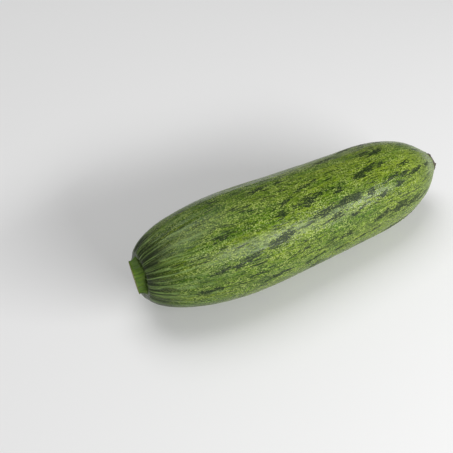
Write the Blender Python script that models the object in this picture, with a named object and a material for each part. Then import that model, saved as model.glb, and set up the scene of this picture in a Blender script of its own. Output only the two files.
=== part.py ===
"""A courgette lying on its side: the fruit, its cut stem and the dried remnant of its blossom.

Metres, +Z up. The fruit lies along X with its stem end at -X and its blossom end at +X. It rests on Z = 0,
and its spine bows towards -Y. The stem and the remnant seat on the fruit's own end faces, so they follow
it when its length, girth or bow changes.
"""

import math

import bmesh
import bpy
from mathutils import Matrix, Vector

MM = 0.001

# Fruit
FRUIT_LENGTH = 172.0 * MM  # from the stem seat to the blossom scar, along the chord
STEM_SIDE_RADIUS = 25.1 * MM  # where the shoulder ends
BLOSSOM_SIDE_RADIUS = 23.4 * MM  # where the blossom end starts to round off, so the middle tapers evenly
SHOULDER_LENGTH = 63.5 * MM  # from the stem seat to the full width
DOME_LENGTH = 47.0 * MM  # from the full width to the blossom scar
NECK_RADIUS = 10.5 * MM  # at the stem seat
SCAR_RADIUS = 6.8 * MM  # at the blossom scar
BOW = 2.5 * MM  # how far the spine stands off its chord
BOW_TO_STEM = 0.85  # above 0, the bow is sharper near the stem
LOBES = 5  # soft lobes round the neck, which fade out along the fruit
LOBE_HEIGHT = 0.7 * MM
LOBE_FADE = 60.0 * MM  # the distance from the stem over which the lobes fade
REST_DEPTH = 0.7 * MM  # how much of the underside is pressed flat where the fruit lies

# How each end rounds off: a higher fullness holds the width for longer, a higher bluntness is less pointed
SHOULDER_FULLNESS = 2.3
SHOULDER_BLUNTNESS = 1.47
DOME_FULLNESS = 2.3
DOME_BLUNTNESS = 1.48

# Stem
STEM_TOP_RADIUS = 7.4 * MM  # at the knife cut
STEM_SHORT_SIDE = 3.6 * MM  # the underside's length, from its base to the knife cut
STEM_LONG_SIDE = 5.8 * MM  # the upper side's length
STEM_FLARE = 3.6 * MM  # how far up the stem its base flares
RIDGES = 5
RIDGE_HEIGHT = 1.3 * MM
STEM_RIM_INSET = 0.3 * MM  # how far the stem's base stays inside the fruit's neck

# Dried remnant of the blossom
REMNANT_INSET = 0.9 * MM  # how far its rim stays inside the scar
REMNANT_THICKNESS = 0.9 * MM
REMNANT_EDGE = 0.4 * MM  # how far its rim is rounded off
NUB_FOOT_RADIUS = 1.8 * MM  # the withered style at its centre
NUB_MIDDLE_RADIUS = 1.3 * MM
NUB_TIP_RADIUS = 0.6 * MM
NUB_HEIGHT = 1.7 * MM

GAP = 0.3 * MM  # between pieces that seat on each other

# How finely the surfaces are divided
FRUIT_SEGMENTS = 60
FRUIT_RINGS = 44
STEM_SEGMENTS = 40
STEM_RINGS = 9
REMNANT_SEGMENTS = 30
SPINE_STEP = 0.001  # the share of the length over which the spine's direction is measured


def remove_all_objects():
    for obj in list(bpy.data.objects):
        bpy.data.objects.remove(obj)


def material(name, colour, roughness):
    made = bpy.data.materials.new(name)
    made.use_nodes = True
    shader = made.node_tree.nodes["Principled BSDF"]
    shader.inputs["Base Color"].default_value = (*colour, 1.0)
    shader.inputs["Roughness"].default_value = roughness
    shader.inputs["Metallic"].default_value = 0.0
    return made


def smoothstep(edge_0, edge_1, x):
    t = min(max((x - edge_0) / (edge_1 - edge_0), 0.0), 1.0)
    return t * t * (3.0 - 2.0 * t)


def swell(share, fullness, bluntness):
    """From 0 at an end's tip to 1 at full width, as share goes from 0 to 1 along that end."""
    left = 1.0 - min(share, 1.0)
    return (1.0 - left**fullness) ** (1.0 / bluntness)


def share_of_swell(value, fullness, bluntness):
    """The share at which swell has this value."""
    return 1.0 - (1.0 - value**bluntness) ** (1.0 / fullness)


def full_radius(along):
    """The evenly tapering radius at a distance from the stem seat, which both ends round off from."""
    taper = (BLOSSOM_SIDE_RADIUS - STEM_SIDE_RADIUS) / (FRUIT_LENGTH - DOME_LENGTH - SHOULDER_LENGTH)
    return STEM_SIDE_RADIUS + taper * (along - SHOULDER_LENGTH)


def fruit_radius(along):
    """The fruit's mean radius at a distance from the stem seat."""
    neck_share = NECK_RADIUS / full_radius(0.0)
    shoulder = swell(along / SHOULDER_LENGTH, SHOULDER_FULLNESS, SHOULDER_BLUNTNESS)
    shoulder = neck_share + (1.0 - neck_share) * shoulder
    # The scar is a flat across the dome, so the dome's own tip lies a little beyond it.
    scar = share_of_swell(SCAR_RADIUS / full_radius(FRUIT_LENGTH), DOME_FULLNESS, DOME_BLUNTNESS)
    dome_share = scar + (1.0 - scar) * (FRUIT_LENGTH - along) / DOME_LENGTH
    return full_radius(along) * shoulder * swell(dome_share, DOME_FULLNESS, DOME_BLUNTNESS)


def spine_point(along):
    """A point of the fruit's spine, at the height at which the full radius presses into the surface."""
    share = along / FRUIT_LENGTH
    bow = BOW * 4.0 * share * (1.0 - share) * (1.0 + BOW_TO_STEM * (0.5 - share))
    return Vector((along, -bow, full_radius(along) - REST_DEPTH))


def spine_direction(along):
    step = FRUIT_LENGTH * SPINE_STEP
    ahead = spine_point(min(along + step, FRUIT_LENGTH))
    behind = spine_point(max(along - step, 0.0))
    return (ahead - behind).normalized()


def frame_at(along, facing):
    """Turns local Z to the spine's direction, or against it if facing is -1, with local Y kept level."""
    forward = spine_direction(along) * facing
    level = Vector((0.0, 0.0, 1.0)).cross(forward).normalized()
    turned = Matrix((level.cross(forward), level, forward)).transposed().to_4x4()
    return Matrix.Translation(spine_point(along)) @ turned


def ring(bm, count, radius_at, height_at):
    """One closed ring of vertices about local Z."""
    vertices = []
    for i in range(count):
        angle = 2.0 * math.pi * i / count
        radius = radius_at(angle)
        x = radius * math.cos(angle)
        y = radius * math.sin(angle)
        vertices.append(bm.verts.new((x, y, height_at(x, y))))
    return vertices


def skin_rings(bm, rings):
    """Quads between each two neighbouring rings, and a flat face over each end."""
    for lower, upper in zip(rings, rings[1:]):
        count = len(lower)
        for i in range(count):
            j = (i + 1) % count
            bm.faces.new((lower[i], lower[j], upper[j], upper[i]))
    bm.faces.new(reversed(rings[0]))
    bm.faces.new(rings[-1])


def object_from(bm, name, finish, sharp_angle_deg):
    bmesh.ops.recalc_face_normals(bm, faces=bm.faces)
    mesh = bpy.data.meshes.new(name)
    bm.to_mesh(mesh)
    bm.free()
    mesh.shade_smooth()
    mesh.set_sharp_from_angle(angle=math.radians(sharp_angle_deg))
    mesh.materials.append(finish)
    obj = bpy.data.objects.new(name, mesh)
    bpy.context.scene.collection.objects.link(obj)
    return obj


def lobed(radius, angle, count, height):
    """A radius with this many soft lobes round it."""
    return radius + height * math.cos(count * angle)


def fruit_stations():
    """Distances from the stem seat, closer together towards both ends."""
    steps = [math.pi * i / (FRUIT_RINGS - 1) for i in range(FRUIT_RINGS)]
    return [FRUIT_LENGTH * (1.0 - math.cos(step)) / 2.0 for step in steps]


def press_underside_flat(bm):
    """Slices off what lies under Z = 0 and closes the cut with one flat face."""
    everything = bm.verts[:] + bm.edges[:] + bm.faces[:]
    cut = bmesh.ops.bisect_plane(
        bm,
        geom=everything,
        dist=1e-7,
        plane_co=(0.0, 0.0, 0.0),
        plane_no=(0.0, 0.0, -1.0),
        clear_outer=True,
    )
    rim = [item for item in cut["geom_cut"] if isinstance(item, bmesh.types.BMEdge)]
    bmesh.ops.contextual_create(bm, geom=rim)


def make_fruit(finish):
    bm = bmesh.new()
    rings = []
    for along in fruit_stations():
        radius = fruit_radius(along)
        lobe_height = LOBE_HEIGHT * (1.0 - smoothstep(0.0, LOBE_FADE, along))
        placed = ring(
            bm,
            FRUIT_SEGMENTS,
            lambda angle: lobed(radius, angle, LOBES, lobe_height),
            lambda x, y: 0.0,
        )
        frame = frame_at(along, 1)
        for vertex in placed:
            vertex.co = frame @ vertex.co
        rings.append(placed)
    skin_rings(bm, rings)
    press_underside_flat(bm)
    return object_from(bm, "fruit", finish, 40.0)


def make_stem(finish):
    """A five-ridged stub, flared onto the fruit's neck and cut aslant, so that its upper side is longer."""
    base_radius = NECK_RADIUS - LOBE_HEIGHT - RIDGE_HEIGHT - STEM_RIM_INSET
    middle_length = (STEM_SHORT_SIDE + STEM_LONG_SIDE) / 2.0
    slant = (STEM_LONG_SIDE - STEM_SHORT_SIDE) / (2.0 * STEM_TOP_RADIUS)
    bm = bmesh.new()
    rings = []
    for i in range(STEM_RINGS):
        share = i / (STEM_RINGS - 1)
        flare = 1.0 - smoothstep(0.0, STEM_FLARE, share * middle_length)
        radius = STEM_TOP_RADIUS - RIDGE_HEIGHT / 2.0
        radius += (base_radius - radius) * flare
        rings.append(
            ring(
                bm,
                STEM_SEGMENTS,
                lambda angle: lobed(radius, angle, RIDGES, RIDGE_HEIGHT),
                # Local X points down here, so the length falls off towards +X.
                lambda x, y: GAP + share * (middle_length - slant * x),
            )
        )
    skin_rings(bm, rings)
    stem = object_from(bm, "stem", finish, 50.0)
    stem.matrix_world = frame_at(0.0, -1)
    return stem


def make_blossom_remnant(finish):
    """A thin dried disc on the scar, with the withered style standing at its centre."""
    disc_radius = SCAR_RADIUS - REMNANT_INSET
    disc_top = GAP + REMNANT_THICKNESS
    profile = (
        (disc_radius, GAP),
        (disc_radius, disc_top - REMNANT_EDGE),
        (disc_radius - REMNANT_EDGE, disc_top),
        (NUB_FOOT_RADIUS, disc_top),
        (NUB_MIDDLE_RADIUS, disc_top + NUB_HEIGHT / 2.0),
        (NUB_TIP_RADIUS, disc_top + NUB_HEIGHT),
    )
    bm = bmesh.new()
    rings = []
    for radius, height in profile:
        rings.append(
            ring(bm, REMNANT_SEGMENTS, lambda angle: radius, lambda x, y: height)
        )
    skin_rings(bm, rings)
    remnant = object_from(bm, "blossom_remnant", finish, 50.0)
    remnant.matrix_world = frame_at(FRUIT_LENGTH, 1)
    return remnant


def centre_on_origin(pieces):
    """Moves the pieces together, so that the middle of their box is over the origin."""
    bpy.context.view_layer.update()
    points = [piece.matrix_world @ vertex.co for piece in pieces for vertex in piece.data.vertices]
    middle_x = (min(p.x for p in points) + max(p.x for p in points)) / 2.0
    middle_y = (min(p.y for p in points) + max(p.y for p in points)) / 2.0
    for piece in pieces:
        piece.location -= Vector((middle_x, middle_y, 0.0))


def main():
    remove_all_objects()
    pieces = [
        make_fruit(material("fruit_skin", (0.19, 0.26, 0.06), 0.42)),
        make_stem(material("stem_skin", (0.18, 0.27, 0.07), 0.6)),
        make_blossom_remnant(material("dried_blossom", (0.13, 0.09, 0.05), 0.9)),
    ]
    centre_on_origin(pieces)


main()
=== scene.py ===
# %% [markdown]
# # A courgette, lying on its side
#
# The courgette is three things: the fruit, the short stub of its stalk, and the dry scrap of its blossom.
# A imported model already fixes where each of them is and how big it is. This lesson gives them their looks:
# a skin with ribs, flecks and dark broken streaks, a knife-cut stalk, and a corky scar.
#
# Its pieces are the frame that everything below is measured from.

import math

import bmesh
import bpy
import numpy as np
from mathutils import Matrix, Vector


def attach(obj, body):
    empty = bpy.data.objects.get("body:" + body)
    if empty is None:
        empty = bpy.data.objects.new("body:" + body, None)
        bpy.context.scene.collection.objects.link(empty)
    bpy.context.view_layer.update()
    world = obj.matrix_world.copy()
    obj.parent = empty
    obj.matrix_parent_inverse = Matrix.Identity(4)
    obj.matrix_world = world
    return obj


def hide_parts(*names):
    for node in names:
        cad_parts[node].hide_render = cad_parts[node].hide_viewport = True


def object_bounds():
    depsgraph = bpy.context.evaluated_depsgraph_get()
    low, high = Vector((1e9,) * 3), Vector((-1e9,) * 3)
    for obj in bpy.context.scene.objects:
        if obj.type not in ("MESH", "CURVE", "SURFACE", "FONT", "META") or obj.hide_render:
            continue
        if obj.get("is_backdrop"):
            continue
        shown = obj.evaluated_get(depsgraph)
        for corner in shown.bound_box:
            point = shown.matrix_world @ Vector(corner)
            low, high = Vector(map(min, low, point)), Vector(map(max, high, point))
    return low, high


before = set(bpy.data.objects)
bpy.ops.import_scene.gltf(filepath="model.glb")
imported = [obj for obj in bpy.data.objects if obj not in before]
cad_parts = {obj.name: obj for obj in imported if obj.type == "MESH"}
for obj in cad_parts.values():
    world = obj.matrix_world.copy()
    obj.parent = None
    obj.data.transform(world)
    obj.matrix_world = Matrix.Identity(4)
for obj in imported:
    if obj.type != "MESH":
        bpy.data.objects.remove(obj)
cad_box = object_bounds()
MM = 0.001
print("nodes:", sorted(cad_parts))
print("box in mm:", [round(c / MM, 1) for c in cad_box[1] - cad_box[0]])

# %% [markdown]
# ## Formulas as nodes
#
# Both the fruit's shape and its finish are made by node trees, and a long formula is hard to read as a pile
# of Math nodes. So an output of a node is wrapped in a small class, `Field`. Adding or multiplying two of
# them adds the Math node, and the formula reads as it would on paper. The same class serves geometry and
# materials, because both kinds of tree share their Math nodes.


# %% A field: one output of a node
class Field:
    """A number that changes over the surface. Arithmetic on it adds Math nodes to its tree."""

    def __init__(self, tree, socket):
        self.tree = tree
        self.socket = socket

    def math(self, operation, *others):
        return out(self.tree, "ShaderNodeMath", {"operation": operation}, self, *others)

    def __add__(self, other):
        return self.math("ADD", other)

    def __sub__(self, other):
        return self.math("SUBTRACT", other)

    def __rsub__(self, other):
        return self.math("MULTIPLY_ADD", -1.0, other)

    def __mul__(self, other):
        return self.math("MULTIPLY", other)

    def __truediv__(self, other):
        return self.math("DIVIDE", other)

    def __pow__(self, other):
        return self.math("POWER", other)

    __radd__ = __add__
    __rmul__ = __mul__


def feed(tree, socket, value):
    """Gives a node's input a value: another node's output, or a plain number, colour or vector."""
    if isinstance(value, Field):
        tree.links.new(value.socket, socket)
    elif socket.type == "RGBA" and len(value) == 3:
        socket.default_value = (*value, 1.0)
    else:
        socket.default_value = value


def add(tree, kind, settings=None, *in_order, **by_name):
    """Adds a node with its settings and inputs. An underscore in an input's name stands for a space."""
    node = tree.nodes.new(kind)
    for name, value in (settings or {}).items():
        setattr(node, name, value)
    for socket, value in zip(node.inputs, in_order):
        feed(tree, socket, value)
    for name, value in by_name.items():
        feed(tree, node.inputs[name.replace("_", " ")], value)
    return node


def out(tree, kind, settings=None, *in_order, **by_name):
    """Adds a node and gives its first output."""
    return Field(tree, add(tree, kind, settings, *in_order, **by_name).outputs[0])


def vector(tree, operation, *inputs):
    return out(tree, "ShaderNodeVectorMath", {"operation": operation}, *inputs)


def scaled(tree, direction, amount):
    """A vector field times a number field."""
    return out(tree, "ShaderNodeVectorMath", {"operation": "SCALE"}, Vector=direction, Scale=amount)


def ramp(value, low, high):
    """A soft step: 0 below low, 1 above high. With low above high, it steps down instead."""
    return out(value.tree, "ShaderNodeMapRange", {"interpolation_type": "SMOOTHSTEP"}, value, low, high)


def inputs_of(tree, sockets):
    """Gives a tree its named inputs and the node that hands them out, as fields."""
    for name, (kind, start) in sockets.items():
        made = tree.interface.new_socket(name, in_out="INPUT", socket_type="NodeSocket" + kind)
        if start is not None:
            made.default_value = start
    hands_out = tree.nodes.new("NodeGroupInput")
    return {name: Field(tree, hands_out.outputs[name]) for name in sockets}


print("field arithmetic is ready")

# %% [markdown]
# ## Where the fruit's ends are
#
# The stem sits on a flat face at one end of the fruit, and the blossom's scar is a flat face at the other.
# The spine between them is nearly straight: it bows a little to one side, and it sinks towards the slimmer
# blossom end, because both ends of the belly touch the table. These few lengths are the design's own. The
# rest is read from the model: the end faces are the corners that lie furthest along the spine.

# %% The fruit's own sizes
SHOULDER_LENGTH = 63.5 * MM  # from the stem's seat to the full width
DOME_LENGTH = 47.0 * MM  # from the full width to the scar
STEM_SIDE_RADIUS = 25.1 * MM
BLOSSOM_SIDE_RADIUS = 23.4 * MM
SHOULDER_FULLNESS, SHOULDER_BLUNTNESS = 2.3, 1.47
DOME_FULLNESS, DOME_BLUNTNESS = 2.3, 1.48
BOW = 2.5 * MM
BOW_TO_STEM = 0.85
LENGTH = 172.0 * MM
TAPER = (BLOSSOM_SIDE_RADIUS - STEM_SIDE_RADIUS) / (LENGTH - DOME_LENGTH - SHOULDER_LENGTH)


def spine_direction(share):
    """The way the spine points at a share of the length, from the bow's slope and the taper."""
    skew = 1.0 + BOW_TO_STEM * (0.5 - share)
    slope = (1.0 - 2.0 * share) * skew - BOW_TO_STEM * share * (1.0 - share)
    return Vector((1.0, -4.0 * BOW * slope / LENGTH, TAPER)).normalized()


def end_face(node, direction):
    """The centre and the mean radius of the flat face at a node's furthest end."""
    corners = np.array([v.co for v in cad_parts[node].data.vertices])
    reach = corners @ np.array(direction)
    face = np.unique(corners[reach > reach.max() - 0.02 * MM].round(7), axis=0)
    centre = face.mean(axis=0)
    return Vector(centre), float(np.linalg.norm(face - centre, axis=1).mean())


seat, NECK_RADIUS = end_face("fruit", -spine_direction(0.0))
scar, SCAR_RADIUS = end_face("fruit", spine_direction(1.0))
print("stem seat at", [round(c / MM, 2) for c in seat], "radius", round(NECK_RADIUS / MM, 2))
print("scar at", [round(c / MM, 2) for c in scar], "radius", round(SCAR_RADIUS / MM, 2))

# %% [markdown]
# ## The body's shape
#
# A courgette could be sculpted, or turned on a Screw modifier and bent. Here Geometry Nodes do it, because
# the shape follows a rule: a closed cylinder of rings, each moved to its place on the spine and given the
# radius that the rule says. Both ends use the same rule, `swell`, which rises from the tip like a rounded
# cone and levels off at full width. The rings stand closer together towards the ends, where the skin turns
# fastest.


# %% Rules for the radius
def swell(share, fullness, bluntness):
    """From 0 at an end's tip to 1 at full width."""
    left = 1.0 - share.math("MINIMUM", 1.0)
    return (1.0 - left**fullness) ** (1.0 / bluntness)


def smooth_radius(along, size):
    """The radius without its ribs and dents, at a distance from the stem's seat."""
    to_dome = size["Length"] - size["Dome length"]
    slimming = (along - size["Shoulder length"]) / (to_dome - size["Shoulder length"])
    full = size["Stem side radius"] + (size["Blossom side radius"] - size["Stem side radius"]) * slimming
    neck_share = NECK_RADIUS / (STEM_SIDE_RADIUS - TAPER * SHOULDER_LENGTH)
    shoulder = swell(along / size["Shoulder length"], SHOULDER_FULLNESS, SHOULDER_BLUNTNESS)
    scar_share = SCAR_RADIUS / (BLOSSOM_SIDE_RADIUS + TAPER * DOME_LENGTH)
    start = 1.0 - (1.0 - scar_share**DOME_BLUNTNESS) ** (1.0 / DOME_FULLNESS)
    dome = (size["Length"] - along) / size["Dome length"] * (1.0 - start) + start
    shoulder = shoulder * (1.0 - neck_share) + neck_share
    return full * shoulder * swell(dome, DOME_FULLNESS, DOME_BLUNTNESS)


print("full radius", STEM_SIDE_RADIUS / MM, "mm to", BLOSSOM_SIDE_RADIUS / MM, "mm")

# %% [markdown]
# ## A grain that follows the skin
#
# Everything on the skin runs lengthwise: ribs, flecks and streaks are all drawn out from stem to blossom,
# and they crowd together where the fruit narrows. A pattern on plain X, Y and Z would not do that. So each
# point carries its own place in an unrolled fruit, called `grain`: how far along it is, and where it is
# round a circle of one fixed radius. A circle has no seam, so the patterns have none either.

# %% The grain's circle, and the reliefs that follow it
GRAIN_RADIUS = 24.0 * MM


def grain_noise(tree, grain, long, wide, detail, seed):
    """Noise whose spots are so long and so wide, from -1 to 1."""
    place = vector(tree, "MULTIPLY", grain, (1.0 / long, 1.0 / wide, 1.0 / wide))
    sizes = {"Vector": place, "W": seed, "Scale": 1.0, "Detail": detail}
    return out(tree, "ShaderNodeTexNoise", {"noise_dimensions": "4D"}, **sizes) * 2.0 - 1.0


def relief(tree, size, grain, along, angle, share):
    """What stands off the smooth radius, from the neck's five lobes to the scar's lip."""
    near_stem = 1.0 - ramp(along, 0.0, 60.0 * MM)
    lobes = (angle * 5.0).math("COSINE") * near_stem * (-0.7 * MM)

    # The ribs wander a little, and sink into the skin a quarter of the way along
    wander = grain_noise(tree, grain, 26.0 * MM, 6.0 * MM, 1.0, 3.0) * 0.22
    rib_fade = 1.0 - ramp(along, 3.0 * MM, 44.0 * MM)
    ribs = ((angle + wander) * 10.0).math("COSINE").math("ABSOLUTE") ** 1.6
    ribs = (ribs - 0.5) * rib_fade * size["Rib height"]

    # Long narrow creases and broad dents, which leave both end faces true
    creases = grain_noise(tree, grain, 34.0 * MM, 2.6 * MM, 3.0, 7.0) * size["Crease depth"]
    dents = grain_noise(tree, grain, 30.0 * MM, 17.0 * MM, 1.0, 11.0) * size["Dent depth"]
    from_scar = (1.0 - share) * LENGTH
    ends = ramp(along, 0.0, 4.0 * MM) * ramp(from_scar, 0.0, 4.0 * MM)

    # Round the scar: puckers, a low lip, and a slight flattening behind it
    near_scar = 1.0 - ramp(from_scar, 1.0 * MM, 9.0 * MM)
    puckers = ((angle + wander * 2.0) * 11.0).math("COSINE") * near_scar * (0.16 * MM)
    lip = ((from_scar - 1.6 * MM) / (1.3 * MM)).math("ABSOLUTE").math("MINIMUM", 1.0)
    lip = (1.0 - lip * lip) * 0.15 * MM
    behind_lip = ramp(from_scar, 0.8 * MM, 3.0 * MM) * (1.0 - ramp(from_scar, 6.0 * MM, 16.0 * MM))
    flat = behind_lip * (0.35 * MM)
    return lobes + ribs + (creases + dents) * ends + puckers + lip - flat


print("grain circle", round(2.0 * math.pi * GRAIN_RADIUS / MM), "mm round")

# %% [markdown]
# ## The body's node tree
#
# The tree starts from a cylinder one unit round and one long. The angle and the height of each point say
# where it belongs: the height becomes the distance along the spine, and the angle the direction in which it
# stands off the spine. Points that would end up under the table are held at it, softly, which is the flat
# that a heavy fruit gets where it lies. The caps keep their rings, so that the closed ends stay even.

# %% Build the tree
ROUND, RINGS, CAP_RINGS = 384, 236, 4
BODY_SIZES = {
    "Length": ("Float", LENGTH),
    "Stem side radius": ("Float", STEM_SIDE_RADIUS),
    "Blossom side radius": ("Float", BLOSSOM_SIDE_RADIUS),
    "Shoulder length": ("Float", SHOULDER_LENGTH),
    "Dome length": ("Float", DOME_LENGTH),
    "Bow": ("Float", BOW),
    "Rib height": ("Float", 0.28 * MM),
    "Crease depth": ("Float", 0.22 * MM),
    "Dent depth": ("Float", 0.45 * MM),
    "Seat": ("Vector", tuple(seat)),
    "Table softness": ("Float", 0.3 * MM),
    "Skin": ("Material", None),
}


def body_place(tree, size, share, angle, radius):
    """The point at a share of the spine, an angle from straight up towards -Y, and a radius."""
    skew = (0.5 - share) * BOW_TO_STEM + 1.0
    rest = 1.0 - share
    bow = size["Bow"] * 4.0 * share * rest * skew
    slope = ((1.0 - share * 2.0) * skew - share * rest * BOW_TO_STEM) * size["Bow"] * -4.0 / size["Length"]
    along = share * size["Length"]
    on_spine = out(tree, "ShaderNodeCombineXYZ", None, along, bow * -1.0, along * TAPER)
    forward = vector(tree, "NORMALIZE", out(tree, "ShaderNodeCombineXYZ", None, 1.0, slope, TAPER))
    level = vector(tree, "NORMALIZE", vector(tree, "CROSS_PRODUCT", (0.0, 0.0, 1.0), forward))
    up = vector(tree, "CROSS_PRODUCT", forward, level)
    off = vector(
        tree,
        "SUBTRACT",
        scaled(tree, up, angle.math("COSINE") * radius),
        scaled(tree, level, angle.math("SINE") * radius),
    )
    return vector(tree, "ADD", vector(tree, "ADD", on_spine, off), size["Seat"])


def body_tree():
    """The geometry tree that turns a cylinder into the fruit's body."""
    tree = bpy.data.node_groups.new("courgette_body", "GeometryNodeTree")
    tree.interface.new_socket("Body", in_out="OUTPUT", socket_type="NodeSocketGeometry")
    size = inputs_of(tree, BODY_SIZES)
    cylinder = add(
        tree,
        "GeometryNodeMeshCylinder",
        {"fill_type": "TRIANGLE_FAN"},
        Vertices=ROUND,
        Side_Segments=RINGS,
        Fill_Segments=CAP_RINGS,
        Radius=1.0,
        Depth=1.0,
    )
    split = add(tree, "ShaderNodeSeparateXYZ", None, out(tree, "GeometryNodeInputPosition"))
    x, y, z = (Field(tree, socket) for socket in split.outputs)
    cap = (x * x + y * y).math("SQRT").math("MINIMUM", 1.0)
    angle = y.math("ARCTAN2", x)
    share = (1.0 - ((z + 0.5) * math.pi).math("COSINE")) * 0.5
    along = share * size["Length"]
    turn = (angle.math("COSINE") * GRAIN_RADIUS, angle.math("SINE") * GRAIN_RADIUS)
    grain = out(tree, "ShaderNodeCombineXYZ", None, along, *turn)
    radius = smooth_radius(along, size) + relief(tree, size, grain, along, angle, share)
    place = body_place(tree, size, share, angle, radius * cap)
    split = add(tree, "ShaderNodeSeparateXYZ", None, place)
    x, y, z = (Field(tree, socket) for socket in split.outputs)
    above = z.math("SMOOTH_MAX", 0.0, size["Table softness"])
    place = out(tree, "ShaderNodeCombineXYZ", None, x, y, above)
    body = Field(tree, cylinder.outputs[0])
    store = {"data_type": "FLOAT_VECTOR", "domain": "POINT"}
    body = out(tree, "GeometryNodeStoreNamedAttribute", store, Geometry=body, Name="grain", Value=grain)
    body = out(tree, "GeometryNodeSetPosition", None, Geometry=body, Position=place)
    body = out(tree, "GeometryNodeSetShadeSmooth", None, Geometry=body)
    body = out(tree, "GeometryNodeRealizeInstances", None, Geometry=body)
    body = out(tree, "GeometryNodeSetMaterial", None, Geometry=body, Material=size["Skin"])
    add(tree, "NodeGroupOutput", None, body)
    return tree


def grown(name, tree, sizes):
    """Runs a tree on an empty object, with inputs set by their identifiers, and keeps the plain mesh."""
    blank = bpy.data.objects.new(name, bpy.data.meshes.new(name))
    bpy.context.scene.collection.objects.link(blank)
    modifier = blank.modifiers.new("grow", "NODES")
    modifier.node_group = tree
    for item in tree.interface.items_tree:
        if item.in_out == "INPUT" and item.name in sizes:
            modifier[item.identifier] = sizes[item.name]
    depsgraph = bpy.context.evaluated_depsgraph_get()
    mesh = bpy.data.meshes.new_from_object(blank.evaluated_get(depsgraph))
    blank.modifiers.remove(modifier)
    blank.data = mesh
    if mesh.materials[0] is None:  # the empty slot that every new mesh starts with
        mesh.materials.pop(index=0)
    return blank


fruit_skin = bpy.data.materials.new("courgette_skin")
fruit = grown("courgette_fruit", body_tree(), {"Skin": fruit_skin})
print("fruit:", len(fruit.data.vertices), "points,", len(fruit.data.polygons), "faces")

# %% [markdown]
# ## Where the dark streaks are
#
# The skin's boldest marks are green-black streaks, which lie along the veins and lean a little off them.
# A texture alone would scatter them evenly. So the large ones on the side that shows best have measured
# places in a list, and chance places the others along the veins of the far side. Each is only a soft oval
# here, kept on the mesh as the attribute `streak`. The material breaks it into dashes later.

# %% Place the streaks
# Each: mm from the stem's seat, degrees from straight up towards -Y, mm long, mm wide, strength
BOLD_STREAKS = (
    (44, 61, 9, 2.0, 0.9), (56, 56, 7, 2.8, 0.95), (62, 53, 8, 3.4, 1.0), (80, 46, 6, 2.2, 0.85),
    (87, 45, 9, 3.0, 1.0), (97, 43, 9, 3.2, 1.0), (104, 43, 7, 2.8, 1.0), (114, 44, 5, 3.0, 1.0),
    (64, 31, 5, 2.8, 0.9), (74, 27, 6, 2.0, 0.8), (80, 27, 9, 3.4, 1.0), (87, 24, 8, 1.6, 0.8),
    (97, 28, 5, 2.4, 0.85), (112, 21, 10, 2.4, 1.0), (119, 17, 10, 2.8, 1.0), (126, 17, 6, 2.0, 0.8),
    (120, 53, 6, 2.4, 0.85), (132, 49, 4, 2.8, 0.9), (129, 38, 8, 1.8, 0.85), (140, 27, 7, 2.2, 0.85),
    (137, 40, 7, 1.7, 0.85), (147, 41, 11, 2.0, 0.95), (158, 40, 8, 1.8, 0.9),
    (91, 55, 8, 2.6, 0.9), (102, 60, 8, 1.6, 0.75),
    (119, 78, 10, 2.6, 1.0), (131, 77, 13, 4.0, 1.0), (141, 81, 12, 3.4, 1.0), (151, 85, 10, 2.4, 1.0),
    (30, 66, 10, 1.7, 0.9), (37, 66, 6, 1.9, 0.85), (24, 88, 12, 2.4, 1.0), (33, 33, 8, 1.3, 0.75),
    (46, 83, 8, 1.5, 0.85), (55, 96, 14, 1.7, 0.9), (77, 95, 11, 1.5, 0.85), (93, 98, 10, 1.5, 0.85),
    (94, 81, 9, 1.7, 0.85), (106, 96, 12, 1.5, 0.85), (116, 94, 8, 1.5, 0.8), (68, 76, 12, 1.3, 0.75),
    (131, -3, 9, 3.0, 0.95), (124, -6, 7, 1.8, 0.85), (81, 10, 13, 1.7, 0.85), (67, 20, 9, 1.5, 0.75),
    (104, -22, 13, 2.2, 0.85), (60, -8, 12, 1.8, 0.8), (142, -28, 10, 2.6, 0.85),
)
VEINS = 10
FAR_SIDE = (108.0, 328.0)  # the degrees that chance fills
CHANCE_STREAKS = 46
STREAK_SEED = 12
STREAK_LEAN = 9.0  # degrees off the grain
OVAL_SOFTNESS = 0.7  # higher ends a streak sooner


def chance_streaks(count, seed):
    """Streaks of chance sizes along the veins of the side that the list leaves out."""
    chance = np.random.default_rng(seed)
    made = []
    while len(made) < count:
        vein = 360.0 / VEINS * chance.integers(VEINS) + chance.normal(0.0, 4.0)
        if FAR_SIDE[0] < vein < FAR_SIDE[1]:
            along = chance.uniform(12.0, 160.0)
            long = chance.uniform(5.0, 15.0)
            wide = chance.uniform(1.6, 3.8)
            made.append((along, vein, long, wide, chance.uniform(0.6, 1.0)))
    return made


def streak_field(grain, streaks):
    """How strongly each point lies inside a streak, from 0 to 1."""
    around = np.arctan2(grain[:, 2], grain[:, 1])
    field = np.zeros(len(grain))
    for along, degrees, long, wide, strength in streaks:
        turn = (around - math.radians(degrees) + math.pi) % (2.0 * math.pi) - math.pi
        ahead = grain[:, 0] / MM - along
        off_axis = turn * GRAIN_RADIUS / MM + ahead * math.tan(math.radians(STREAK_LEAN))
        reach = (ahead * 2.0 / long) ** 2 + (off_axis * 2.0 / wide) ** 2
        oval = strength * np.exp(-OVAL_SOFTNESS * reach)
        field = np.maximum(field, oval)
    return field


def read_vectors(mesh, name):
    values = np.empty(len(mesh.vertices) * 3, np.float32)
    mesh.attributes[name].data.foreach_get("vector", values)
    return values.reshape(-1, 3)


def store_numbers(mesh, name, values):
    mesh.attributes.new(name, "FLOAT", "POINT").data.foreach_set("value", np.asarray(values, np.float32))


streaks = list(BOLD_STREAKS) + chance_streaks(CHANCE_STREAKS, STREAK_SEED)
store_numbers(fruit.data, "streak", streak_field(read_vectors(fruit.data, "grain"), streaks))
print(len(BOLD_STREAKS), "streaks listed,", len(streaks) - len(BOLD_STREAKS), "by chance")

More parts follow.
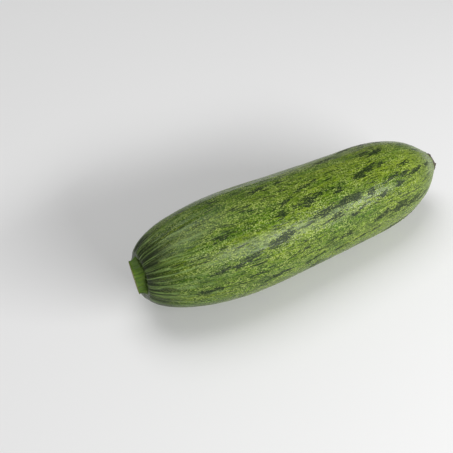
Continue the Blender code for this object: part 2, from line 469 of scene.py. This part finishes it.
# %% [markdown]
# ## Effects that the finishes share
#
# Plant skin repeats two effects at many sizes: soft spots drawn out along the grain, and small flecks. Each
# is a node group here, built once, with its sizes as named inputs. The fruit, the stalk and the dry blossom
# then use them with values of their own.


# %% Shared node groups
def group(name, sockets, output, build):
    """A shader node group with named inputs and one output, which build works out."""
    tree = bpy.data.node_groups.new(name, "ShaderNodeTree")
    tree.interface.new_socket(output, in_out="OUTPUT", socket_type="NodeSocketFloat")
    size = inputs_of(tree, sockets)
    add(tree, "NodeGroupOutput", None, build(tree, size))
    return tree


def stretch(tree, size):
    """The place on the grain, in units of one spot's length and width."""
    spot = out(tree, "ShaderNodeCombineXYZ", None, size["Length"], size["Width"], size["Width"])
    return vector(tree, "DIVIDE", size["Grain"], spot)


def build_spots(tree, size):
    sizes = {"Vector": stretch(tree, size), "W": size["Variant"], "Scale": 1.0, "Detail": size["Detail"]}
    return out(tree, "ShaderNodeTexNoise", {"noise_dimensions": "4D"}, **sizes)


def build_flecks(tree, size):
    cells = add(tree, "ShaderNodeTexVoronoi", None, Vector=stretch(tree, size), Scale=1.0)
    from_centre = Field(tree, cells.outputs["Distance"])
    solid_core = size["Size"] * 0.55
    return ramp(from_centre, size["Size"], solid_core)


GRAIN_INPUT = {"Grain": ("Vector", (0.0, 0.0, 0.0))}
MARK_INPUTS = GRAIN_INPUT | {"Length": ("Float", 5.0 * MM), "Width": ("Float", 1.0 * MM)}
SPOT_INPUTS = MARK_INPUTS | {"Detail": ("Float", 2.0), "Variant": ("Float", 0.0)}
spots_group = group("drawn_out_spots", SPOT_INPUTS, "Spots", build_spots)
flecks_group = group("flecks", MARK_INPUTS | {"Size": ("Float", 0.4)}, "Flecks", build_flecks)


def spots(grain, long, wide, detail, variant):
    """Soft spots so many mm long and wide, around 0.5. Each variant has its spots in other places."""
    sizes = {"Length": long * MM, "Width": wide * MM, "Detail": detail, "Variant": variant}
    return out(grain.tree, "ShaderNodeGroup", {"node_tree": spots_group}, Grain=grain, **sizes)


def flecks(grain, long, wide, size):
    """One fleck in each cell so many mm long and wide, 1 inside the fleck and 0 outside."""
    sizes = {"Length": long * MM, "Width": wide * MM, "Size": size}
    return out(grain.tree, "ShaderNodeGroup", {"node_tree": flecks_group}, Grain=grain, **sizes)


def mix(tree, amount, base, top):
    """The colour top over the colour base, by an amount from 0 to 1."""
    made = tree.nodes.new("ShaderNodeMix")
    made.data_type = "RGBA"
    colours = [socket for socket in made.inputs if socket.type == "RGBA"]
    feed(tree, made.inputs[0], amount)
    feed(tree, colours[0], base)
    feed(tree, colours[1], top)
    return Field(tree, [socket for socket in made.outputs if socket.type == "RGBA"][0])


print("groups:", spots_group.name, "and", flecks_group.name)

# %% [markdown]
# ## Start and finish of a material
#
# All three finishes start and end the same way. Each reads its place on the grain from the mesh, and hands
# one colour, one roughness and one bump to a Principled shader. These helpers keep that in one place.


# %% Helpers for every material
def fresh_material(material):
    """Gives the tree of a new material, its shader, and its grain field."""
    material.use_nodes = True
    tree = material.node_tree
    shader = tree.nodes["Principled BSDF"]
    grain = add(tree, "ShaderNodeAttribute", {"attribute_name": "grain"})
    return tree, shader, Field(tree, grain.outputs["Vector"])


def number_attribute(tree, name):
    return Field(tree, add(tree, "ShaderNodeAttribute", {"attribute_name": name}).outputs["Fac"])


def finish(tree, shader, colour, roughness, heights):
    """Wires colour, roughness and a bump of heights in metres into the shader."""
    feed(tree, shader.inputs["Base Color"], colour)
    feed(tree, shader.inputs["Roughness"], roughness)
    bump = add(tree, "ShaderNodeBump", None, Strength=1.0, Distance=1.0, Height=heights)
    tree.links.new(bump.outputs[0], shader.inputs["Normal"])


print("materials start and finish alike")

# %% [markdown]
# ## The skin's greens
#
# The skin is a waxy mid green over a yellower ground. The two greens drift into each other in slow patches
# and narrow bands along the grain, and the blossom end is yellower and lighter: partly the skin's own tone,
# partly painted light. Over them lie a darker mottle and a fine dark net, and the whole skin darkens towards
# the stem, which is painted shade. Each of these is one more colour mixed over the last, because real skin
# is layered too.

# %% The green ground
LEAF_GREEN = (0.066, 0.144, 0.007)
YELLOW_GREEN = (0.168, 0.236, 0.011)
DEEP_GREEN = (0.014, 0.040, 0.002)


def green_ground(tree, grain, along, from_stem, net):
    """Two greens in patches and bands, lighter at the blossom end partly by painted light, then the mottle,
    the net, and painted shade at the stem end.
    """
    # Lighter and yellower away from the stem and towards the blossom end: partly the skin's own tone, partly
    # painted light
    to_blossom = ramp(along, 85.0 * MM, 150.0 * MM)
    drift = ramp(spots(grain, 42.0, 8.0, 3.0, 1.0) + from_stem * 0.05 + to_blossom * 0.05, 0.42, 0.64)
    bands = ramp(spots(grain, 30.0, 1.5, 3.0, 2.0), 0.40, 0.60)
    mottle = ramp(spots(grain, 4.0, 1.3, 3.0, 3.0), 0.44, 0.60)
    # Painted shade: the skin darkens towards the stem end
    near_stem = 1.0 - ramp(along, 6.0 * MM, 58.0 * MM)
    colour = mix(tree, drift * 0.50 + bands * 0.38 + to_blossom * 0.14, LEAF_GREEN, YELLOW_GREEN)
    colour = mix(tree, mottle * (0.60 - drift * 0.22 - to_blossom * 0.16), colour, DEEP_GREEN)
    colour = mix(tree, (1.0 - net) * 0.70, colour, DEEP_GREEN)
    return mix(tree, near_stem * 0.44, colour, DEEP_GREEN)


print("two greens and a darker one")

# %% [markdown]
# ## Flecks, threads and streaks
#
# Pale flecks of two sizes crowd over the green, thicker in some places than in others. Fine dark threads
# run between them along the grain. The streaks come from the mesh as soft ovals: a drawn-out noise eats
# into their edges, so that they break into dashes, and the pale flecks still show through them a little.

# %% Masks for the marks
FLECK_GREEN = (0.440, 0.530, 0.135)
STREAK_GREEN = (0.007, 0.019, 0.002)


def fleck_mask(grain, small, tiny, from_stem):
    """Where the pale flecks are, a little fainter at the stem."""
    patchy = ramp(spots(grain, 8.0, 3.5, 3.0, 5.0), 0.36, 0.62)
    strong = small * (patchy * 0.46 + 0.16)
    faint = tiny * (patchy * 0.28 + 0.25)
    return strong.math("MAXIMUM", faint) * (from_stem * 0.22 + 0.78)


def thread_mask(grain):
    """Where the dark threads are, stronger in some patches."""
    threads = ramp(spots(grain, 7.0, 0.62, 3.0, 6.0), 0.54, 0.62)
    scattered = ramp(spots(grain, 20.0, 5.0, 2.0, 7.0), 0.42, 0.55)
    return threads * (scattered * 0.80 + 0.16)


def streak_mask(tree, grain, small, tiny):
    """The streaks of the mesh, broken into dashes."""
    dashes = spots(grain, 3.0, 0.62, 4.0, 11.0)
    inside = number_attribute(tree, "streak")
    streak = ramp(inside * 0.70 + (dashes - 0.5) * 2.1, 0.25, 0.31) * ramp(inside, 0.08, 0.20)
    return streak * (1.0 - small * 0.36 - tiny * 0.26)


print("masks for flecks, threads and streaks")

# %% [markdown]
# ## Both ends of the skin
#
# Ribs fan out from both ends. At the stalk they stand pale on a grey ground with a ragged edge, and at the
# blossom they are fainter, on a deeper green. They could be drawn as lines, but cosines of the angle round
# the fruit need no lines: a high power makes their crests narrow. Where the skin meets the scar it dries
# brown.

# %% Ribs and the dry edge
RIB_GREY = (0.012, 0.020, 0.006)
RIB_PALE = (0.190, 0.290, 0.085)
SCAR_BROWN = (0.045, 0.036, 0.018)
WIDE_RIBS, THIN_RIBS = 20.0, 47.0  # whole numbers, so that they meet without a seam


def rib_crests(angle, count, sharpness):
    """So many crests round the fruit, from 0 to 1."""
    return ((angle * count).math("COSINE") * 0.5 + 0.5) ** sharpness


def add_ribs(tree, grain, along, angle, colour):
    """Lays the grey ground and the ribs of both ends over a colour."""
    ragged = (spots(grain, 12.0, 1.6, 3.0, 8.0) - 0.5) * (14.0 * MM)
    ground = 1.0 - ramp(along + ragged, 1.0 * MM, 16.0 * MM)
    at_blossom = (1.0 - ramp(LENGTH - along, 4.0 * MM, 34.0 * MM)) * 0.7
    reach = (1.0 - ramp(along, 7.0 * MM, 48.0 * MM)).math("MAXIMUM", at_blossom)
    wander = (spots(grain, 18.0, 5.0, 2.0, 9.0) - 0.5) * 0.30
    wide = rib_crests(angle + wander, WIDE_RIBS, 18.0) * 0.9
    thin = rib_crests(angle + wander * 1.6, THIN_RIBS, 6.0) * 0.7
    broken = ramp(spots(grain, 14.0, 1.2, 3.0, 10.0), 0.40, 0.58)
    rib = wide.math("MAXIMUM", thin) * (broken * 0.80 + 0.20)
    colour = mix(tree, ground * (1.0 - rib * 0.6) * 0.9, colour, RIB_GREY)
    colour = mix(tree, at_blossom * (1.0 - rib) * 0.45, colour, DEEP_GREEN)
    return mix(tree, rib * reach * 0.80, colour, RIB_PALE)


def dry_mask(grain, along):
    """The ragged dry edge beside the scar."""
    ragged = (spots(grain, 3.0, 1.4, 3.0, 14.0) - 0.5) * (4.0 * MM)
    return 1.0 - ramp(LENGTH - along + ragged, 0.6 * MM, 1.8 * MM)


print(int(WIDE_RIBS), "wide ribs and", int(THIN_RIBS), "thin ones")

# %% [markdown]
# ## The skin put together
#
# The layers lie one over another in the order in which they hide each other. The wax makes the skin satin
# rather than shiny. It is duller in slow patches, over the flecks and inside the streaks. The flecks stand
# a little proud and the threads are sunk, so both feed the bump, with a fine grain between them.

# %% Paint the skin
FLECK_HEIGHT = 0.07 * MM
THREAD_DEPTH = 0.03 * MM
GRAIN_HEIGHT = 0.12 * MM


def paint_skin(material):
    tree, shader, grain = fresh_material(material)
    split = add(tree, "ShaderNodeSeparateXYZ", None, grain)
    along, up, side = (Field(tree, socket) for socket in split.outputs)
    angle = side.math("ARCTAN2", up)
    from_stem = ramp(along, 10.0 * MM, 75.0 * MM)

    net = ramp(spots(grain, 1.8, 0.75, 3.0, 4.0), 0.40, 0.58)
    small = flecks(grain, 1.2, 0.75, 0.44)
    tiny = flecks(grain, 0.70, 0.50, 0.44)
    fleck = fleck_mask(grain, small, tiny, from_stem)
    thread = thread_mask(grain)
    streak = streak_mask(tree, grain, small, tiny)

    colour = green_ground(tree, grain, along, from_stem, net)
    colour = mix(tree, fleck, colour, FLECK_GREEN)
    colour = mix(tree, thread, colour, STREAK_GREEN)
    colour = add_ribs(tree, grain, along, angle, colour)
    colour = mix(tree, streak * 0.97, colour, STREAK_GREEN)
    colour = mix(tree, dry_mask(grain, along) * 0.9, colour, SCAR_BROWN)

    dull = ramp(spots(grain, 26.0, 9.0, 3.0, 13.0), 0.40, 0.60)
    roughness = 0.18 + dull * 0.14 + fleck * 0.10 + (1.0 - net) * 0.06 + streak * 0.22
    fine_grain = spots(grain, 1.6, 1.0, 4.0, 12.0) * GRAIN_HEIGHT
    heights = fleck * FLECK_HEIGHT - thread * THREAD_DEPTH + fine_grain
    finish(tree, shader, colour, roughness, heights)
    shader.inputs["Specular IOR Level"].default_value = 0.23


paint_skin(fruit_skin)
print("skin:", len(fruit_skin.node_tree.nodes), "nodes")

# %% [markdown]
# ## The stalk's stub
#
# A courgette is cut from its plant with a knife, which leaves a short stub. It has five strong ridges with
# a weaker one between each two, and its foot spreads onto the fruit. It could be cut from a cylinder with
# modifiers. A loft is simpler here: ring after ring of points, up the side, over the rim and in across the
# face. Plain numpy gives every ring its radius and height, and one function joins neighbouring rings.


# %% Lofts about an end of the fruit
def loft(name, rings, outward, centre, material):
    """A closed mesh from rings of (across-up, across-side, height) in metres, about an axis at a centre.

    Each ring runs round from straight up towards -Y. The first and last ring close to a point.
    """
    level = Vector((0.0, 0.0, 1.0)).cross(outward).normalized()
    up = outward.cross(level)
    side = level if outward.x < 0.0 else -level
    axes = np.array([up, side, outward])
    rings = np.asarray(rings)
    count, around, _ = rings.shape
    points = rings.reshape(-1, 3) @ axes + np.array(centre)
    tips = np.array([rings[0].mean(axis=0), rings[-1].mean(axis=0)]) @ axes + np.array(centre)
    first, last = count * around, count * around + 1
    faces = []
    for i in range(count - 1):
        for j in range(around):
            k = (j + 1) % around
            faces.append((i * around + j, i * around + k, (i + 1) * around + k, (i + 1) * around + j))
    for j in range(around):
        k = (j + 1) % around
        faces.append((first, k, j))
        faces.append((last, (count - 1) * around + j, (count - 1) * around + k))
    mesh = bpy.data.meshes.new(name)
    mesh.from_pydata(np.vstack([points, tips]).tolist(), [], faces)
    outward_facing(mesh)
    mesh.shade_smooth()
    mesh.materials.append(material)
    made = bpy.data.objects.new(name, mesh)
    bpy.context.scene.collection.objects.link(made)
    return made


def outward_facing(mesh):
    """Turns every face outwards."""
    bm = bmesh.new()
    bm.from_mesh(mesh)
    bmesh.ops.recalc_face_normals(bm, faces=bm.faces)
    bm.to_mesh(mesh)
    bm.free()


def store_on_loft(mesh, name, values):
    """Keeps one number or vector for each point of the rings, and their means at the two tips."""
    values = np.asarray(values, np.float32)
    flat = values.reshape(-1, *values.shape[2:])
    flat = np.concatenate([flat, values[:1].mean(axis=1), values[-1:].mean(axis=1)])
    if flat.ndim == 1:
        store_numbers(mesh, name, flat)
    else:
        mesh.attributes.new(name, "FLOAT_VECTOR", "POINT").data.foreach_set("vector", flat.ravel())


def soft(x, low, high):
    """A soft step for numpy: 0 below low, 1 above high."""
    t = np.clip((x - low) / (high - low), 0.0, 1.0)
    return t * t * (3.0 - 2.0 * t)


def wavy(angle, seed, waves, calm):
    """A closed chance wave round a ring, from so many sine waves. A higher calm weakens the finer ones."""
    chance = np.random.default_rng(seed)
    total = np.zeros_like(angle)
    for _ in range(waves):
        turns = chance.integers(3, 3 + 3 * waves)
        total = total + np.sin(turns * angle + chance.uniform(0.0, 2.0 * math.pi)) / turns**calm
    return total / max(1e-9, np.abs(total).max())


print("lofts are ready")

# %% [markdown]
# ## The stub's shape
#
# The knife came through aslant, so the stub is longest on one side and its cut face looks the other way.
# The face has a raised rim, a ring of ten veins, fine fibres and a sunken pith. Each of these is a rise or
# a dip in the rings' heights, so that it is there in the shape and not only in the colour.

# %% The stub's rings
STEM_AROUND = 240
STEM_FOOT = 8.1 * MM
STEM_TOP = 7.1 * MM
STEM_SHORT, STEM_LONG = 1.5 * MM, 4.5 * MM
LONG_SIDE = math.radians(38.0)  # from straight up towards -Y
RIDGE = 1.25 * MM
FURROW_DEPTH = 0.10 * MM
VEIN_HEIGHT = 0.16 * MM
FIBRE_HEIGHT = 0.06 * MM
theta = np.linspace(0.0, 2.0 * math.pi, STEM_AROUND, endpoint=False)
peak = (1.0 - np.cos(5.0 * theta)) / 2.0
ridge = 2.0 * peak**1.5 - 1.0 + 0.35 * (1.0 - peak) ** 5
furrow = wavy(theta, 5, 14, 0.5)


def cut_height(up, side):
    """The height of the knife's slanted plane over the seat, at a place across the axis."""
    middle = (STEM_SHORT + STEM_LONG) / 2.0
    towards_long = up * math.cos(LONG_SIDE) + side * math.sin(LONG_SIDE)
    return middle + (STEM_LONG - STEM_SHORT) / (2.0 * STEM_TOP) * towards_long


def side_ring(share):
    """A ring on the stub's side, from 0 at the foot to 1 at the rim."""
    flare = (1.0 - share) ** 2.2
    radius = STEM_TOP + (STEM_FOOT - STEM_TOP) * flare
    radius = radius + RIDGE * ridge * (0.55 + 0.45 * flare) + FURROW_DEPTH * furrow
    lip = soft(share, 0.80, 0.97) * 0.25 * MM - soft(share, 0.95, 1.0) * 0.35 * MM
    radius = radius + lip
    up, side = radius * np.cos(theta), radius * np.sin(theta)
    return np.stack([up, side, share * cut_height(up, side)], axis=1)


def foot_ring(share):
    """A ring on the foot, from 0 where a toe ends on the fruit to 1 where the side starts."""
    start = side_ring(0.0)
    radius = np.hypot(start[:, 0], start[:, 1])
    reach = (0.4 + 1.0 * peak**2) * MM * (1.0 - share)
    drop = (1.5 * (1.0 - share) ** 1.5 + 0.1) * MM * (1.0 - 0.25 * peak)
    wider = radius + reach
    return np.stack([wider * np.cos(theta), wider * np.sin(theta), -drop], axis=1)


def face_ring(share):
    """A ring on the cut face, from 0 at the rim to 1 near its middle."""
    rim = side_ring(1.0)[:, :2]
    flat = rim * (1.0 - share)
    reach = 1.0 - share
    veins = np.exp(-(((reach - 0.70) / 0.07) ** 2)) * np.clip(np.cos(10.0 * theta), 0.0, 1.0) ** 2
    fibres = FIBRE_HEIGHT * wavy(theta, 9, 24, 0.2) * soft(reach, 0.15, 0.6)
    dish = -0.45 * MM * soft(share, 0.02, 0.35) - 0.75 * MM * soft(share, 0.68, 0.90)
    height = cut_height(flat[:, 0], flat[:, 1]) + dish + VEIN_HEIGHT * veins + fibres
    return np.column_stack([flat, height])


foot_steps = np.linspace(0.0, 1.0, 9)[:-1]
side_steps = np.linspace(0.0, 1.0, 27)
face_steps = np.linspace(0.0, 0.97, 40)[1:]
stem_rings = [foot_ring(s) for s in foot_steps] + [side_ring(s) for s in side_steps]
stem_rings += [face_ring(s) for s in face_steps]
stem_skin = bpy.data.materials.new("stem_skin_and_cut")
stem = loft("courgette_stem", stem_rings, -spine_direction(0.0), seat, stem_skin)

# The skin's grain runs up the side and in across the face; `cut` is 1 on the face
climb = np.concatenate([foot_steps - 1.0, side_steps * 5.0, 5.0 + face_steps * 7.0]) * MM
turn = np.stack([np.cos(theta), np.sin(theta)], axis=1) * 8.0 * MM
stem_grain = [np.column_stack([np.full(STEM_AROUND, step), turn]) for step in climb]
off_face, whole_face = np.zeros(len(foot_steps)), np.ones(len(face_steps))
on_face = np.concatenate([off_face, soft(side_steps, 0.93, 0.99), whole_face])
store_on_loft(stem.data, "grain", stem_grain)
store_on_loft(stem.data, "cut", np.repeat(on_face[:, None], STEM_AROUND, axis=1))
print("stem:", len(stem.data.polygons), "faces")

# %% [markdown]
# ## The stalk's finish
#
# The stub's side is a green, darkened by painted shade below its own colour, with paler blotches and flecks
# and darker lines along it. The cut has dried for some days: its flesh is cream with fine fibres, and its
# edge and its pith are browner. One material holds both, and the attribute `cut` says which of them shows.


# %% The stalk's material
# Painted shade: both stalk greens are darker than the stub's own colour
STALK_GREEN_SHADED = (0.050, 0.106, 0.003)
STALK_PALE_SHADED = (0.105, 0.175, 0.012)
STALK_DARK = (0.024, 0.050, 0.006)
CUT_CREAM = (0.360, 0.370, 0.170)
CUT_BROWN = (0.190, 0.150, 0.065)


def paint_stem(material):
    tree, shader, grain = fresh_material(material)
    cut = number_attribute(tree, "cut")
    climb_field = Field(tree, add(tree, "ShaderNodeSeparateXYZ", None, grain).outputs[0])

    lines = spots(grain, 9.0, 0.8, 3.0, 21.0)
    blotch = ramp(spots(grain, 4.0, 2.4, 3.0, 22.0), 0.35, 0.65)
    side = mix(tree, blotch * 0.6, STALK_GREEN_SHADED, STALK_PALE_SHADED)
    side = mix(tree, (1.0 - ramp(lines, 0.36, 0.52)) * 0.7, side, STALK_DARK)
    side = mix(tree, flecks(grain, 1.1, 0.7, 0.38) * 0.45, side, STALK_PALE_SHADED)
    foot = 1.0 - ramp(climb_field, -1.0 * MM, 0.4 * MM)
    side = mix(tree, foot * 0.75, side, STALK_DARK)

    fibres = spots(grain, 2.5, 0.35, 3.0, 23.0)
    face = mix(tree, ramp(fibres, 0.40, 0.62) * 0.45, CUT_CREAM, CUT_BROWN)
    rim = 1.0 - ramp(climb_field, 5.0 * MM, 5.9 * MM)
    face = mix(tree, rim * 0.55, face, CUT_BROWN)
    pith = ramp(climb_field, 9.6 * MM, 11.2 * MM)
    face = mix(tree, pith * 0.5, face, CUT_BROWN)

    colour = mix(tree, cut, side, face)
    heights = spots(grain, 3.0, 0.5, 4.0, 24.0) * (0.12 * MM)
    finish(tree, shader, colour, 0.52 + cut * 0.28, heights)
    shader.inputs["Specular IOR Level"].default_value = 0.25


paint_stem(stem_skin)
print("stem finish:", len(stem_skin.node_tree.nodes), "nodes")

# %% [markdown]
# ## What is left of the blossom
#
# The flower grew on the far end. It has dropped off and left a dry corky disc. Its torn rim still stands
# up, highest at one scrap of a petal's base, and the withered style is a dark crooked nub in the middle. It
# is lofted too: in under the edge, up over the rim, across the wrinkled face and up to the tip of the nub.

# %% The dry blossom's rings
DISC_AROUND = 200
DISC_RADIUS = SCAR_RADIUS - 0.3 * MM
DISC_THICK = 0.9 * MM
NUB_TALL = 2.7 * MM
SCRAP_AT = math.radians(60.0)  # where a scrap of a petal's base still stands
phi = np.linspace(0.0, 2.0 * math.pi, DISC_AROUND, endpoint=False)
uneven = 0.05 * wavy(phi, 31, 8, 0.6) + 0.04 * np.cos(5.0 * phi)


def disc_ring(radius, height, wrinkle=0.0, lean=0.0):
    """A ring at a share of the disc's radius. Its height, wrinkles and lean are in mm."""
    reach = DISC_RADIUS * radius * (1.0 + uneven * soft(np.asarray(radius), 0.3, 1.0))
    up = reach * np.cos(phi) + lean * MM
    side = reach * np.sin(phi) + 0.6 * lean * MM
    seed = int(100 * radius) // 12 + 40  # rings close together share one wave
    rise = height * MM + wrinkle * MM * wavy(phi, seed, 12, 0.3)
    return np.stack([up, side, rise + 0.0 * phi], axis=1)


TOP = DISC_THICK / MM

# Under the disc and out to its edge: each a share of the radius and a height in mm
UNDERSIDE = ((0.3, -0.5), (0.7, -0.5), (0.92, -0.45), (0.97, -0.1), (0.99, 0.25))
disc_rings = [disc_ring(radius, height) for radius, height in UNDERSIDE]

# Over the torn rim: each a share of the radius and a share of the crest's height
RIM = ((1.0, 0.35), (1.01, 0.7), (1.01, 0.92), (0.995, 1.0), (0.975, 0.95), (0.955, 0.7), (0.93, 0.3))
scrap = np.exp(-(((phi - SCRAP_AT) / 0.11) ** 2))
crest = 0.75 + 0.30 * wavy(phi, 52, 14, 0.2) + 0.65 * scrap
disc_rings += [disc_ring(radius, TOP - 0.45 + share * crest) for radius, share in RIM]

# In across the wrinkled face, which has a trough round the nub, and up to the nub's tip
for reach in np.linspace(0.90, 0.40, 24):
    trough = -0.30 * math.exp(-(((reach - 0.66) / 0.11) ** 2))
    disc_rings.append(disc_ring(reach, TOP + 0.12 + trough, wrinkle=0.16))
for rise in np.linspace(0.0, 1.0, 18):
    width = 0.12 * (1.0 - rise) ** 3.0 + 0.22 * (1.0 - rise**3) ** 0.6 + 0.02
    height = TOP + rise * NUB_TALL / MM
    disc_rings.append(disc_ring(width, height, wrinkle=0.10 * (1.0 - rise), lean=0.8 * rise**2))
dry_blossom = bpy.data.materials.new("dry_blossom")
blossom = loft("courgette_blossom_remnant", disc_rings, spine_direction(1.0), scar, dry_blossom)

# Its grain runs outwards from the nub
spread = [np.hypot(ring[:, 0], ring[:, 1]).mean() for ring in disc_rings]
turn = np.stack([np.cos(phi), np.sin(phi)], axis=1) * 5.0 * MM
blossom_grain = [np.column_stack([np.full(DISC_AROUND, reach), turn]) for reach in spread]
store_on_loft(blossom.data, "grain", blossom_grain)
print("blossom remnant:", len(blossom.data.polygons), "faces")

# %% [markdown]
# ## The dry blossom's finish
#
# Dry cork is matt and brown, with paler wood between cracks that run outwards. The rim and the nub are
# nearly black. Both dark parts follow the distance from the middle, which the grain already holds.


# %% The dry blossom's material
CORK_BROWN = (0.130, 0.095, 0.055)
CORK_PALE = (0.300, 0.250, 0.160)
CORK_BLACK = (0.030, 0.024, 0.018)


def paint_blossom(material):
    tree, shader, grain = fresh_material(material)
    reach = Field(tree, add(tree, "ShaderNodeSeparateXYZ", None, grain).outputs[0])
    cracks = spots(grain, 2.2, 0.45, 4.0, 31.0)
    colour = mix(tree, ramp(cracks, 0.42, 0.60), CORK_PALE, CORK_BROWN)
    dark_rim = ramp(reach, DISC_RADIUS * 0.80, DISC_RADIUS * 0.98)
    dark_nub = 1.0 - ramp(reach, DISC_RADIUS * 0.28, DISC_RADIUS * 0.44)
    colour = mix(tree, dark_rim.math("MAXIMUM", dark_nub) * 0.85, colour, CORK_BLACK)
    colour = mix(tree, flecks(grain, 0.6, 0.5, 0.35) * 0.4, colour, CORK_PALE)
    finish(tree, shader, colour, 0.78 + cracks * 0.15, cracks * (0.25 * MM))


paint_blossom(dry_blossom)
print("dry blossom finish:", len(dry_blossom.node_tree.nodes), "nodes")

# %% [markdown]
# ## Put the pieces in their places
#
# All three pieces ride on the frame's root, because nothing on a picked courgette moves. Each one stands in
# for the plain node of the same part.

# %% Tie the pieces to the frame
for piece, node, slot_name in (
    (fruit, "fruit", "fruit_skin"),
    (stem, "stem", "stem_skin"),
    (blossom, "blossom_remnant", "dried_blossom"),
):
    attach(piece, "root")
    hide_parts(node)
print("three pieces tied to the frame")

# %% [markdown]
# ## The floor
#
# A pale matt floor and soft light suit a vegetable: hard light would hide the skin's pattern under glare.
# The floor is one large square. It is marked as stage, so that it isn't taken for a piece of the courgette.


# %% The floor
FLOOR_HALF = 2.0  # metres
FLOOR_SHADE = 0.76


def plain_floor(half, shade):
    mesh = bpy.data.meshes.new("floor")
    corners = [(-half, -half, 0.0), (half, -half, 0.0), (half, half, 0.0), (-half, half, 0.0)]
    mesh.from_pydata(corners, [], [(0, 1, 2, 3)])
    made = bpy.data.objects.new("floor", mesh)
    bpy.context.scene.collection.objects.link(made)
    paint = bpy.data.materials.new("pale_floor")
    paint.use_nodes = True
    shader = paint.node_tree.nodes["Principled BSDF"]
    shader.inputs["Base Color"].default_value = (shade, shade, shade, 1.0)
    shader.inputs["Roughness"].default_value = 0.9
    mesh.materials.append(paint)
    return made


floor = plain_floor(FLOOR_HALF, FLOOR_SHADE)
floor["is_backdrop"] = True
print("floor", 2.0 * FLOOR_HALF, "m square")

# %% [markdown]
# ## The light
#
# Three sources do the work. An even white sky fills the shadows, a large panel behind and above gives the
# floor its soft shadow, and a long low panel in front draws the satin gleam along the flank. The panels are
# placed by direction and distance from the fruit, so that each can be moved round it by one number.


# %% The lights
SKY_STRENGTH = 0.22
AIM = 0.4  # share of the fruit's height that the panels aim at


def panel(name, azimuth, elevation, distance, wide, tall, watts):
    """A soft light aimed at the fruit's middle from a direction in degrees."""
    middle = Vector((0.0, 0.0, AIM * (cad_box[1][2] - cad_box[0][2])))
    turn, rise = math.radians(azimuth), math.radians(elevation)
    away = Vector((math.cos(rise) * math.cos(turn), math.cos(rise) * math.sin(turn), math.sin(rise)))
    data = bpy.data.lights.new(name, "AREA")
    data.shape = "RECTANGLE"
    data.size = wide
    data.size_y = tall
    data.energy = watts
    lamp = bpy.data.objects.new(name, data)
    bpy.context.scene.collection.objects.link(lamp)
    lamp.location = middle + away * distance
    lamp.rotation_euler = (-away).to_track_quat("-Z", "Y").to_euler()


panel("gleam", azimuth=-68.0, elevation=24.0, distance=0.9, wide=0.95, tall=0.14, watts=10.4)
panel("overhead", azimuth=104.0, elevation=70.0, distance=1.2, wide=0.9, tall=0.9, watts=7.5)
sky = bpy.data.worlds.new("white_sky")
sky.use_nodes = True
background = sky.node_tree.nodes["Background"]
background.inputs["Color"].default_value = (1.0, 1.0, 1.0, 1.0)
background.inputs["Strength"].default_value = SKY_STRENGTH
bpy.context.scene.world = sky
bpy.context.scene.view_settings.view_transform = "Standard"
print("two panels and a white sky")

# %% [markdown]
# ## The camera
#
# The view looks down on the fruit's flank from the front left, so the blossom end points away to the upper
# right. A fairly long lens, from an arm's length away, keeps the nearer end from looking much thicker.

# %% The camera
EYE = Vector((-0.1671, -0.1940, 0.2557))
LOOK = Vector((0.3962, 0.6107, -0.6856)).normalized()
OVERHEAD = Vector((0.3448, 0.5931, 0.7276))
LENS = 55.6  # mm, on the usual 36 mm sensor
rightwards = LOOK.cross(OVERHEAD).normalized()
upwards = rightwards.cross(LOOK)
camera = bpy.data.objects.new("camera", bpy.data.cameras.new("camera"))
bpy.context.scene.collection.objects.link(camera)
turned = Matrix((rightwards, upwards, -LOOK)).transposed().to_4x4()
camera.matrix_world = Matrix.Translation(EYE) @ turned
camera.data.lens = LENS
bpy.context.scene.camera = camera
middle = Vector((cad_box[0] + cad_box[1]) / 2.0)
print("camera", round((EYE - middle).length, 3), "m from the fruit's middle")

# %% [markdown]
# ## The sizes of both boxes
#
# The dressed object should fill the same box as the plain one. The sizes of both boxes are printed.

# %% Print the sizes of both boxes
look_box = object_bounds()
boxes = {"cad": [[float(c) for c in corner] for corner in cad_box]}
boxes["look"] = [[float(c) for c in corner] for corner in look_box]
for name, box in boxes.items():
    print(name, [round((high - low) / MM, 1) for low, high in zip(*box)], "mm")
